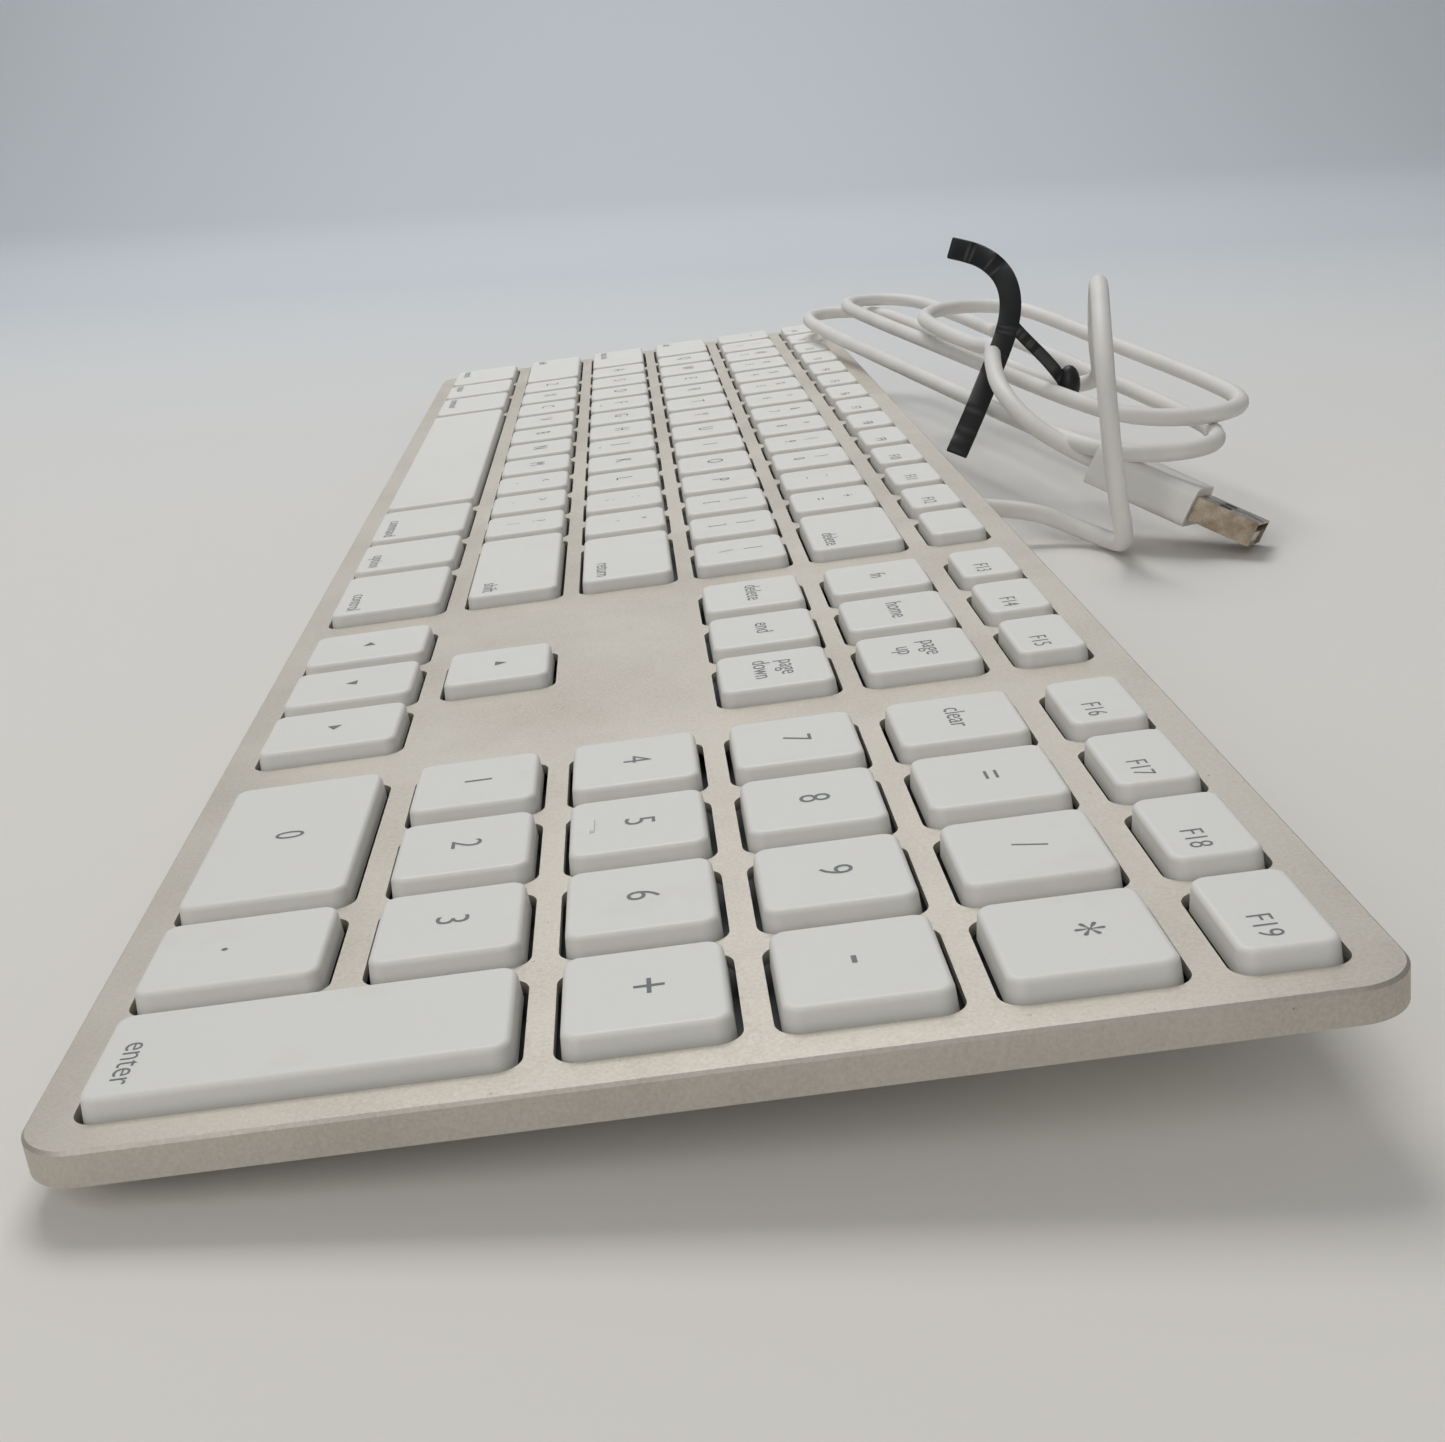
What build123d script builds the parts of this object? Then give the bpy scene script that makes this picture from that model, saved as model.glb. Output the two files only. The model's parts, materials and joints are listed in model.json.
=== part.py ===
"""Full-size wired computer keyboard with a numeric keypad at its +X end.

An anodised aluminium top plate carries an island of slots.  Each white key cap
stands in its own slot on a pair of crossed scissor links and a rubber dome, over
a three-layer membrane and a steel support plate.  A moulded shell closes the
underside and swells at the rear into a bar that lifts the back of the keyboard,
holds the controller board and a socket at each end, and lets the cable out.

Millimetres.  The pieces are modelled flat, with z = 0 on the plate's top face,
x = 0 at mid length and y = 0 at mid depth, and are then tipped back by TILT so
that the feet stand on z = 0.
"""
import math
import os

from build123d import *

# ---- overall -----------------------------------------------------------------
PLATE_LENGTH = 432.0
PLATE_DEPTH = 115.0
TILT = 5.0                    # degrees, rear edge up
FRONT_FOOT_DROP = 6.5         # plate top above the table at the front edge
PLATE_CORNER = 5.5            # plan radius of the plate's corners
PLATE_EDGE_BREAK = 0.3
CUT = 1.0                     # how far a cutting solid runs past the face that it opens

# ---- key grid ----------------------------------------------------------------
UNIT = 19.05                  # column pitch of single keys
WEB_X = 2.3                   # aluminium between two slots of one block
BLOCK_GAP = 8.4               # extra gap between blocks, on top of WEB_X
MARGIN = 4.15                 # plate edge to the nearest slot
SLOT_DEPTH = 16.0             # letter and number rows
WEB_Y = 2.5
BOTTOM_SLOT_DEPTH = 19.2      # front row is deeper
BOTTOM_WEB_Y = 2.95
FUNCTION_SLOT_DEPTH = 10.15
SLOT_CORNER = 2.2

# ---- key caps ----------------------------------------------------------------
KEY_GAP = 0.6                 # slot edge to cap side
CAP_RISE = 1.9                # cap top above the plate
CAP_DROP = 0.8                # cap skirt below the plate's top face
CAP_TAPER = 5.0               # degrees
CAP_CORNER = 1.8
CAP_TOP_FILLET = 0.6
CAP_WALL = 0.9
CAP_TOP_WALL = 1.1
HOMING_BAR = (3.2, 0.5, 0.25)
HOMING_BAR_ROOT = 0.1         # bar's foot inside the cap's top
HOMING_BAR_SETBACK = 2.6      # bar to the cap's front side
KEY_TRAVEL = 1.8              # at most CAP_DROP + KEY_TRAVEL reaches above the shelf

# ---- plate, inner stack and shell ---------------------------------------------
PLATE_FACE = 1.2
PLATE_RIM_HEIGHT = 3.3
PLATE_RIM_WALL = 1.6
DOME_SPACE = 3.4              # plate top to the membrane's top
SHEET = 0.2                   # each membrane layer
SUPPORT_PLATE = 0.5
SHELL_FLOOR = 1.2
SHELL_INSET = 5.0             # pan's side inside the plate's edge
SHELL_WALL = 1.2
SHELL_LIP = 1.0
SHELF_CLEARANCE = 0.2         # pressed cap to the shelf that joins lip and pan
SHELF_THICKNESS = 1.0
LIP_CLEARANCE = 0.15
STACK_CLEARANCE = 0.3

# ---- scissor links and domes ---------------------------------------------------
LINK_SIDE_ROOM = 3.125        # slot's side to a link's end, along x
LINK_WIDTH = 11.0             # outer link, along y, on deep enough keys
LINK_BAR = 0.8
LINK_THICKNESS = 0.6
LINK_CLEARANCE = 0.4
LINK_ANGLE = 16.0             # degrees, key up
DOME_RADIUS = 2.5
DOME_HEAD = 0.7               # share of the base radius
DOME_CLEARANCE = 0.1

# ---- rear bar ------------------------------------------------------------------
FOOT_HEIGHT = 0.8
BAR_END_INSET = 24.0
BAR_REAR_INSET = 3.5
BAR_DEPTH = 27.0
BAR_FRONT_SLOPE = 5.0
BAR_WALL = 1.5
BAR_FILLET = 1.5
BAR_ROOT = 0.5                # bar's top inside the shell's floor
PORT_SIZE = (14.0, 13.1, 5.7)   # length, width, height of a socket's metal can
PORT_WALL = 0.35
PORT_TONGUE = 1.8
PORT_TONGUE_SIDE = 1.5        # tongue to the can's outer side
PORT_TONGUE_SHORT = 0.8       # tongue shorter than the can
PORT_TONGUE_OFFSET = (-0.2, 0.6)  # along the can and up, from the can's centre
PORT_Y_FROM_REAR = 15.5
PORT_Z = -9.3
PORT_CLEARANCE = 0.15
BOARD_SIZE = (64.0, 11.0, 1.2)
BOARD_STANDOFF = 1.2
STANDOFF_RADIUS = 2.2
SCREW_HEAD_RADIUS = 1.6
SCREW_HEAD = 0.9
SCREW_SPACING = 52.0
SCREW_SHANK_RADIUS = 0.8
SCREW_HOLE_CLEARANCE = 0.1
FRONT_FOOT = (24.0, 5.0)
FRONT_FOOT_INSET = 9.5
FRONT_FOOT_SPACING = 340.0
REAR_FOOT = (40.0, 5.0)
REAR_FOOT_SPACING = 320.0
REAR_FOOT_EDGE = 1.0          # foot to the start of the bar's rounded edge

# ---- cable ---------------------------------------------------------------------
CABLE_DIAMETER = 3.4
CABLE_EXIT_RUN = 10.0         # straight out of the grommet
ARC_SHARE = 0.45              # of the shorter run that an arc takes up
GROMMET_RADIUS = 3.0
GROMMET_TIP_RADIUS = 2.2
GROMMET_LENGTH = 8.0
GROMMET_FLANGE = 1.0
GROMMET_CLEARANCE = 0.1       # neck to the hole in the bar's rear wall
GROMMET_Z = -9.5
PLUG_HEADING = 57.7           # degrees about z, from +X
PLUG_DIP = 20.8               # degrees, nose down: the cable holds the plug's back up
PLUG_ROLL = -10.6             # degrees about the plug's own axis
PLUG_BODY = (20.0, 15.6, 7.6)
PLUG_BODY_FILLET = 2.0
PLUG_SHELL = (12.0, 12.0, 4.5)
PLUG_SHELL_WALL = 0.3
PLUG_TONGUE = 1.9
PLUG_TONGUE_SHORT = 1.0       # tongue shorter than the plug's metal shell
PLUG_BACK = (-1.0, 85.7, 14.6)  # where the cable enters the plug
PLUG_ENTRY_RUN = 12.0

# Loose bundle of cable: an elongated lens, level, one end beside the plate's rear edge.
HANK_CENTRE = (-94.0, 83.5, 24.5)
HANK_SIZE = (214.0, 52.0, 12.0)
HANK_ANGLE = 10.0
# Cable from the grommet down to the table, up round the standing loop, into the bundle.
LEAD_POINTS = [
    (4.0, 83.5, 3.0),
    (17.0, 83.0, 9.0),
    (23.5, 80.5, 25.0),
    (15.0, 80.5, 41.0),
    (-2.0, 82.0, 49.0),
    (-19.0, 84.0, 45.0),
    (-33.0, 86.5, 40.0),
]
LEAD_END = (-39.0, 87.5)
# Cable from the top of the bundle over to the plug.
TAIL_START = (-54.0, 86.0)
TAIL_POINTS = [
    (-46.0, 79.0, 38.0),
    (-32.0, 71.5, 35.5),
    (-17.0, 69.5, 26.5),
]
TIE_WIDTH = 4.6
TIE_THICKNESS = 1.2
TIE_POINTS = [
    (-45.0, 72.0, 31.5),
    (-45.0, 76.0, 40.0),
    (-46.0, 73.5, 48.0),
    (-48.0, 65.0, 52.5),
]
TIE_SECOND_ARM = [(-51.0, 78.0, 37.5), (-51.0, 86.0, 31.5)]
TIE_BEND = 4.0

os.makedirs("parts", exist_ok=True)

# ---- places worked out from the sizes ------------------------------------------
FRONT_EDGE = -PLATE_DEPTH / 2
REAR_EDGE = PLATE_DEPTH / 2
RIGHT_EDGE = PLATE_LENGTH / 2
SLOT_WIDTH = UNIT - WEB_X

CAP_HEIGHT = CAP_RISE + CAP_DROP
CAVITY_CEILING = CAP_RISE - CAP_TOP_WALL
SHEETS_TOP = -DOME_SPACE
SUPPORT_TOP = SHEETS_TOP - 3 * SHEET
SHELL_INSIDE = SUPPORT_TOP - SUPPORT_PLATE
SHELL_BOTTOM = SHELL_INSIDE - SHELL_FLOOR

BAR_REAR = REAR_EDGE - BAR_REAR_INSET
BAR_FRONT = BAR_REAR - BAR_DEPTH
BAR_HALF_LENGTH = RIGHT_EDGE - BAR_END_INSET
PORT_Y = REAR_EDGE - PORT_Y_FROM_REAR


def table_z(y):
    """Height of the table under a point of the flat model at depth y."""
    return -FRONT_FOOT_DROP - (y - FRONT_EDGE) * math.tan(math.radians(TILT))


def place(shape):
    """Tip a flat piece back by TILT and set it down with the table at z = 0."""
    lean_angle = math.radians(TILT)
    drop = table_z(0.0) * math.cos(lean_angle)
    centring = -PLATE_RIM_HEIGHT * math.sin(lean_angle) / 2
    return Pos(0, centring, -drop) * Rot(X=TILT) * shape


def save(node, *solids):
    shape = solids[0] if len(solids) == 1 else Compound(children=list(solids))
    export_step(shape, f"parts/{node}.step")


def block(x0, x1, y0, y1, z0, z1):
    return Pos((x0 + x1) / 2, (y0 + y1) / 2, (z0 + z1) / 2) * Box(x1 - x0, y1 - y0, z1 - z0)


def slab(inset, z0, z1):
    """Rounded slab that follows the plate's outline, inset from it."""
    outline = RectangleRounded(
        PLATE_LENGTH - 2 * inset, PLATE_DEPTH - 2 * inset, max(PLATE_CORNER - inset, 0.5)
    )
    return extrude(Plane.XY.offset(z0) * outline, z1 - z0)


# ---- key layout ----------------------------------------------------------------
ROW_EDGES = []                # (front, rear) of each slot row, front row first
front = FRONT_EDGE + MARGIN
ROW_EDGES.append((front, front + BOTTOM_SLOT_DEPTH))
front += BOTTOM_SLOT_DEPTH + BOTTOM_WEB_Y
for _ in range(4):
    ROW_EDGES.append((front, front + SLOT_DEPTH))
    front += SLOT_DEPTH + WEB_Y
FUNCTION_FRONT = REAR_EDGE - MARGIN - FUNCTION_SLOT_DEPTH
ROW_EDGES.append((FUNCTION_FRONT, FUNCTION_FRONT + FUNCTION_SLOT_DEPTH))

KEYPAD_RIGHT = RIGHT_EDGE - MARGIN
KEYPAD_LEFT = KEYPAD_RIGHT - 4 * UNIT + WEB_X
NAV_RIGHT = KEYPAD_LEFT - WEB_X - BLOCK_GAP
NAV_LEFT = NAV_RIGHT - 3 * UNIT + WEB_X
MAIN_RIGHT = NAV_LEFT - WEB_X - BLOCK_GAP
MAIN_LEFT = -RIGHT_EDGE + MARGIN
MAIN_WIDTH = MAIN_RIGHT - MAIN_LEFT + WEB_X


class Key:
    """One key: its slot rectangle, and the node that it belongs to."""

    def __init__(self, node, x0, x1, y0, y1, homing=False):
        self.node, self.x0, self.x1, self.y0, self.y1 = node, x0, x1, y0, y1
        self.homing = homing

    @property
    def centre(self):
        return (self.x0 + self.x1) / 2, (self.y0 + self.y1) / 2

    @property
    def size(self):
        return round(self.x1 - self.x0, 4), round(self.y1 - self.y0, 4)


def key_row(row, left, widths, names, homing=()):
    """Keys side by side from left; widths in slot pitches of this block."""
    keys = []
    x = left
    for index, width in enumerate(widths):
        name = names if isinstance(names, str) else names[index]
        slot_end = x + width - WEB_X
        keys.append(Key(name, x, slot_end, *ROW_EDGES[row], homing=index in homing))
        x += width
    return keys


def main_row(row, units, names, homing=()):
    """A main-block row whose outer keys take up the block's exact width."""
    total = sum(units)
    widths = [MAIN_WIDTH * unit / total for unit in units]
    return key_row(row, MAIN_LEFT, widths, names, homing)


ONE = [UNIT]
keys = []
keys += main_row(5, [1.0] * 14, "keys_function_row")
keys += main_row(4, [1.0] * 13 + [1.5], "keys_number_row")
keys += main_row(3, [1.5] + [1.0] * 13, "keys_upper_row")
keys += main_row(2, [1.75] + [1.0] * 11 + [1.75], "keys_home_row", homing=(4, 7))
keys += main_row(1, [2.25] + [1.0] * 10 + [2.25], "keys_lower_row")
modifier = "keys_modifier_row"
keys += main_row(
    0, [1.5, 1.25, 1.5, 6.0, 1.5, 1.25, 1.5], [modifier] * 3 + ["key_space"] + [modifier] * 3
)
keys += key_row(5, NAV_LEFT, ONE * 3, "keys_function_row")
keys += key_row(4, NAV_LEFT, ONE * 3, ["key_function", "key_home", "key_page_up"])
keys += key_row(3, NAV_LEFT, ONE * 3, ["key_forward_delete", "key_end", "key_page_down"])
keys += key_row(1, NAV_LEFT + UNIT, ONE, ["key_up"])
keys += key_row(0, NAV_LEFT, ONE * 3, ["key_left", "key_down", "key_right"])
keys += key_row(5, KEYPAD_LEFT, ONE * 4, ["key_f16", "key_f17", "key_f18", "key_f19"])
keys += key_row(4, KEYPAD_LEFT, ONE * 4, ["key_clear", "key_equals", "key_divide", "key_multiply"])
keys += key_row(3, KEYPAD_LEFT, ONE * 4, ["key_7", "key_8", "key_9", "key_minus"])
keys += key_row(2, KEYPAD_LEFT, ONE * 4, ["key_4", "key_5", "key_6", "key_plus"], homing=(1,))
keys += key_row(1, KEYPAD_LEFT, ONE * 3, ["key_1", "key_2", "key_3"])
keys += key_row(0, KEYPAD_LEFT, [2 * UNIT, UNIT], ["key_0", "key_decimal"])
enter_left = KEYPAD_LEFT + 3 * UNIT
keys.append(Key("key_enter", enter_left, enter_left + SLOT_WIDTH, ROW_EDGES[0][0], ROW_EDGES[1][1]))


# ---- key caps ------------------------------------------------------------------
def cap_body(width, depth):
    """Tapered hollow cap centred on its slot, slot width by slot depth."""
    base_w, base_d = width - 2 * KEY_GAP, depth - 2 * KEY_GAP
    base = Plane.XY.offset(-CAP_DROP) * RectangleRounded(base_w, base_d, CAP_CORNER)
    body = extrude(base, CAP_HEIGHT, taper=CAP_TAPER)
    body = fillet(body.faces().sort_by(Axis.Z)[-1].edges(), CAP_TOP_FILLET)
    lean = CAP_HEIGHT * math.tan(math.radians(CAP_TAPER))
    inner_w, inner_d = base_w - 2 * (CAP_WALL + lean), base_d - 2 * (CAP_WALL + lean)
    cavity = Pos(0, 0, (CAVITY_CEILING - CAP_DROP - CUT) / 2) * Box(
        inner_w, inner_d, CAVITY_CEILING + CAP_DROP + CUT
    )
    return body - cavity


def homing_bar(depth):
    length, width, height = HOMING_BAR
    y = -depth / 2 + KEY_GAP + HOMING_BAR_SETBACK
    middle = CAP_RISE + (height - HOMING_BAR_ROOT) / 2
    return Pos(0, y, middle) * Box(length, width, height + HOMING_BAR_ROOT)


cap_of_size = {}
caps_of_node = {}
for key in keys:
    if key.size not in cap_of_size:
        cap_of_size[key.size] = cap_body(*key.size)
    cap = cap_of_size[key.size]
    if key.homing:
        cap = cap + homing_bar(key.size[1])
    placed = place(Pos(*key.centre, 0) * cap)
    caps_of_node.setdefault(key.node, []).append(placed)
for node, caps in caps_of_node.items():
    save(node, *caps)

# ---- top plate -----------------------------------------------------------------
plate = slab(0, -PLATE_RIM_HEIGHT, 0)
plate = chamfer(plate.faces().sort_by(Axis.Z)[-1].edges(), PLATE_EDGE_BREAK)
plate -= slab(PLATE_RIM_WALL, -PLATE_RIM_HEIGHT - CUT, -PLATE_FACE)
slot_sketch = Sketch()
for key in keys:
    slot_sketch += Pos(*key.centre) * RectangleRounded(*key.size, SLOT_CORNER)
plate -= extrude(Plane.XY.offset(-PLATE_RIM_HEIGHT) * slot_sketch, PLATE_RIM_HEIGHT + CUT)
save("top_plate", place(plate))

# ---- scissor links and rubber domes ---------------------------------------------
def link(reach, width, angle):
    """Rectangular scissor link, tipped about Y."""
    outline = Box(reach, width, LINK_THICKNESS)
    outline -= Box(reach - 2 * LINK_BAR, width - 2 * LINK_BAR, LINK_THICKNESS + CUT)
    return Rot(Y=angle) * outline


outer_links, inner_links, domes = [], [], []
links_mid = (SHEETS_TOP + CAVITY_CEILING) / 2
link_of_depth = {}
lean = CAP_HEIGHT * math.tan(math.radians(CAP_TAPER))
dome_height = CAVITY_CEILING - DOME_CLEARANCE - SHEETS_TOP
side_clearance = KEY_GAP + CAP_WALL + lean + LINK_CLEARANCE
link_reach = SLOT_WIDTH - 2 * LINK_SIDE_ROOM
for key in keys:
    depth = key.size[1]
    if depth not in link_of_depth:
        inside = depth - 2 * side_clearance
        outer_w = min(LINK_WIDTH, inside)
        inner_w = outer_w - 2 * LINK_BAR - 2 * LINK_CLEARANCE
        radius = min(DOME_RADIUS, inner_w / 2 - LINK_BAR - LINK_CLEARANCE)
        link_of_depth[depth] = (
            link(link_reach, outer_w, LINK_ANGLE),
            link(link_reach, inner_w, -LINK_ANGLE),
            Cone(radius, radius * DOME_HEAD, dome_height),
        )
    outer, inner, dome = link_of_depth[depth]
    centre = Pos(*key.centre, links_mid)
    outer_links.append(place(centre * outer))
    inner_links.append(place(centre * inner))
    domes.append(place(Pos(*key.centre, SHEETS_TOP + dome_height / 2) * dome))
save("scissor_outer_links", *outer_links)
save("scissor_inner_links", *inner_links)
save("rubber_domes", *domes)

# ---- membrane and support plate ---------------------------------------------------
stack_inset = SHELL_INSET + SHELL_WALL + STACK_CLEARANCE
for index, node in enumerate(["membrane_upper_sheet", "membrane_spacer", "membrane_lower_sheet"]):
    top = SHEETS_TOP - index * SHEET
    save(node, place(slab(stack_inset, top - SHEET, top)))
save("key_support_plate", place(slab(stack_inset, SHELL_INSIDE, SUPPORT_TOP)))

# ---- bottom shell with its rear bar -------------------------------------------------
lip_inset = PLATE_RIM_WALL + LIP_CLEARANCE
shelf_top = -(CAP_DROP + KEY_TRAVEL + SHELF_CLEARANCE)
shell = slab(lip_inset, shelf_top - SHELF_THICKNESS, -PLATE_FACE)
shell -= slab(lip_inset + SHELL_LIP, shelf_top, 0)
shell += slab(SHELL_INSET, SHELL_BOTTOM, shelf_top - SHELF_THICKNESS)
bar_top_front = BAR_FRONT - BAR_FRONT_SLOPE
bar_profile = Plane.YZ * Polygon(
    (bar_top_front, SHELL_BOTTOM + BAR_ROOT),
    (BAR_FRONT, table_z(BAR_FRONT) + FOOT_HEIGHT),
    (BAR_REAR, table_z(BAR_REAR) + FOOT_HEIGHT),
    (BAR_REAR, SHELL_BOTTOM + BAR_ROOT),
    align=None,
)
bar = extrude(bar_profile, BAR_HALF_LENGTH, both=True)
bar = fillet(bar.edges().group_by(Axis.Z)[0], BAR_FILLET)
shell += bar
shell -= slab(SHELL_INSET + SHELL_WALL, SHELL_INSIDE, 0)
cavity_low = PORT_Z - PORT_SIZE[2] / 2 - PORT_CLEARANCE
cavity_front = BAR_FRONT + BAR_WALL
shell -= block(
    -BAR_HALF_LENGTH + PORT_SIZE[0], BAR_HALF_LENGTH - PORT_SIZE[0],
    cavity_front, BAR_REAR - BAR_WALL, cavity_low, SHELL_INSIDE + CUT / 10,
)
for side in (-1, 1):
    outer_x = side * (BAR_HALF_LENGTH + CUT)
    inner_x = side * (BAR_HALF_LENGTH - PORT_SIZE[0] - CUT)
    shell -= block(
        min(outer_x, inner_x), max(outer_x, inner_x),
        PORT_Y - PORT_SIZE[1] / 2 - PORT_CLEARANCE, PORT_Y + PORT_SIZE[1] / 2 + PORT_CLEARANCE,
        PORT_Z - PORT_SIZE[2] / 2 - PORT_CLEARANCE, PORT_Z + PORT_SIZE[2] / 2 + PORT_CLEARANCE,
    )
shell -= Pos(0, BAR_REAR, GROMMET_Z) * Rot(X=90) * Cylinder(GROMMET_TIP_RADIUS, 4 * BAR_WALL)
board_y = (cavity_front + BAR_REAR - BAR_WALL) / 2
for side in (-1, 1):
    standoff = Cylinder(STANDOFF_RADIUS, BOARD_STANDOFF)
    shell += Pos(side * SCREW_SPACING / 2, board_y, cavity_low + BOARD_STANDOFF / 2) * standoff
save("bottom_shell", place(shell))

# ---- sockets at the bar's ends ------------------------------------------------------
length, width, height = PORT_SIZE
sockets = []
for side in (-1, 1):
    can = Box(length, width, height)
    can -= Pos(PORT_WALL, 0, 0) * Box(length, width - 2 * PORT_WALL, height - 2 * PORT_WALL)
    tongue = Box(length - PORT_TONGUE_SHORT, width - 2 * PORT_TONGUE_SIDE, PORT_TONGUE)
    tongue = Pos(PORT_TONGUE_OFFSET[0], 0, PORT_TONGUE_OFFSET[1]) * tongue
    turn = Rot(Z=0 if side > 0 else 180)
    middle = Pos(side * (BAR_HALF_LENGTH - length / 2), PORT_Y, PORT_Z)
    sockets += [place(middle * turn * can), place(middle * turn * tongue)]
save("usb_sockets", *sockets)

# ---- controller board and its screws --------------------------------------------------
board_z = cavity_low + BOARD_STANDOFF + BOARD_SIZE[2] / 2
board = Pos(0, board_y, board_z) * Box(*BOARD_SIZE)
screws = []
for side in (-1, 1):
    x = side * SCREW_SPACING / 2
    hole = Cylinder(SCREW_SHANK_RADIUS + SCREW_HOLE_CLEARANCE, 2 * BOARD_SIZE[2])
    board -= Pos(x, board_y, board_z) * hole
    shank_top = board_z + BOARD_SIZE[2] / 2
    shank = Pos(x, board_y, shank_top - BOARD_SIZE[2] / 2) * Cylinder(
        SCREW_SHANK_RADIUS, BOARD_SIZE[2]
    )
    head = Pos(x, board_y, shank_top + SCREW_HEAD / 2) * Cylinder(SCREW_HEAD_RADIUS, SCREW_HEAD)
    screws.append(place(shank + head))
save("controller_board", place(board))
save("board_screws", *screws)

# ---- rubber feet ------------------------------------------------------------------
def wedge_foot(x, y, size, top, thickness=None):
    """Rubber pad that stands on the table; its top follows the shell or the bar."""
    half_length, half_depth = size[0] / 2, size[1] / 2
    deep = 2 * table_z(REAR_EDGE)
    pad = block(x - half_length, x + half_length, y - half_depth, y + half_depth, deep, top)
    on_table = Pos(0, 0, table_z(0.0)) * Rot(X=-TILT)
    cutter = Box(2 * PLATE_LENGTH, 2 * PLATE_DEPTH, PLATE_DEPTH)
    pad -= on_table * Pos(0, 0, -PLATE_DEPTH / 2) * cutter
    if thickness:
        pad -= on_table * Pos(0, 0, PLATE_DEPTH / 2 + thickness) * cutter
    return place(pad)


front_y = FRONT_EDGE + FRONT_FOOT_INSET
rear_y = BAR_REAR - BAR_FILLET - REAR_FOOT[1] / 2 - REAR_FOOT_EDGE
bar_foot_height = FOOT_HEIGHT * math.cos(math.radians(TILT))
feet = []
for side in (-1, 1):
    feet.append(wedge_foot(side * FRONT_FOOT_SPACING / 2, front_y, FRONT_FOOT, SHELL_BOTTOM))
    feet.append(wedge_foot(side * REAR_FOOT_SPACING / 2, rear_y, REAR_FOOT, 0, bar_foot_height))
save("rubber_feet", *feet)

# ---- cable grommet -------------------------------------------------------------------
outwards = (Align.CENTER, Align.CENTER, Align.MIN)
inwards = (Align.CENTER, Align.CENTER, Align.MAX)
sleeve = Cone(GROMMET_RADIUS, GROMMET_TIP_RADIUS, GROMMET_LENGTH, align=outwards)
neck = Cylinder(GROMMET_TIP_RADIUS - GROMMET_CLEARANCE, BAR_WALL, align=inwards)
flange = Pos(0, 0, -BAR_WALL) * Cylinder(GROMMET_RADIUS, GROMMET_FLANGE, align=inwards)
grommet = Pos(0, BAR_REAR, GROMMET_Z) * Rot(X=-90) * (sleeve + neck + flange)
grommet = place(grommet)
save("cable_grommet", grommet)

# ---- loose cable, laid behind the keyboard ----------------------------------------------
def tube(points, node):
    """Round cable along straight runs joined by the largest tangent arcs they allow."""
    vectors = [Vector(*p) for p in points]
    radii = []
    for before, here, after in zip(vectors, vectors[1:], vectors[2:]):
        run_in, run_out = here - before, after - here
        turn = math.radians(run_in.get_angle(run_out))
        radii.append(ARC_SHARE * min(run_in.length, run_out.length) / math.tan(turn / 2))
    path = FilletPolyline(*vectors, radius=radii)
    start = Plane(origin=vectors[0], z_dir=vectors[1] - vectors[0])
    solid = sweep(start * Circle(CABLE_DIAMETER / 2), path=path)
    expected = math.pi * CABLE_DIAMETER ** 2 / 4 * path.length
    print(node, "length", round(path.length, 1), "volume ratio", round(solid.volume / expected, 4))
    print(node, "radii", [round(r, 1) for r in radii])
    save(node, solid)


tip_face = grommet.faces().sort_by(Axis.Y)[-1]
exit_point = tip_face.center()
exit_direction = tip_face.normal_at()
first = exit_point + exit_direction * CABLE_EXIT_RUN
hank_top = HANK_CENTRE[2] + HANK_SIZE[2] / 2
hank_bottom = HANK_CENTRE[2] - HANK_SIZE[2] / 2
tube(
    [tuple(exit_point), tuple(first)] + LEAD_POINTS + [(*LEAD_END, hank_top)],
    "cable_lead",
)

hank_outline = Plane.XY.offset(hank_bottom) * Rot(Z=HANK_ANGLE) * Ellipse(
    HANK_SIZE[0] / 2, HANK_SIZE[1] / 2
)
hank = extrude(hank_outline, HANK_SIZE[2])
hank = Pos(HANK_CENTRE[0], HANK_CENTRE[1], 0) * hank
save("cable_bundle", hank)

# ---- plug ----------------------------------------------------------------------------
at_plug = Pos(*PLUG_BACK) * Rot(Z=PLUG_HEADING) * Rot(Y=PLUG_DIP) * Rot(X=PLUG_ROLL)
from_back = (Align.MIN, Align.CENTER, Align.CENTER)
plug_body = Box(*PLUG_BODY, align=from_back)
plug_body = fillet(plug_body.edges().filter_by(Axis.X), PLUG_BODY_FILLET)
save("plug_body", at_plug * plug_body)
shell_length, shell_width, shell_height = PLUG_SHELL
inside_width = shell_width - 2 * PLUG_SHELL_WALL
inside_height = shell_height - 2 * PLUG_SHELL_WALL
at_shell = at_plug * Pos(PLUG_BODY[0], 0, 0)
plug_can = Box(*PLUG_SHELL, align=from_back)
plug_room = Box(shell_length, inside_width, inside_height, align=from_back)
plug_can -= Pos(PLUG_SHELL_WALL, 0, 0) * plug_room
save("plug_shell", at_shell * plug_can)
insert_length = shell_length - PLUG_TONGUE_SHORT
insert = Box(insert_length, inside_width, PLUG_TONGUE, align=(Align.MIN, Align.CENTER, Align.MIN))
insert_low = PLUG_SHELL_WALL - shell_height / 2
save("plug_insert", at_shell * Pos(PLUG_SHELL_WALL, 0, insert_low) * insert)

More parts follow.
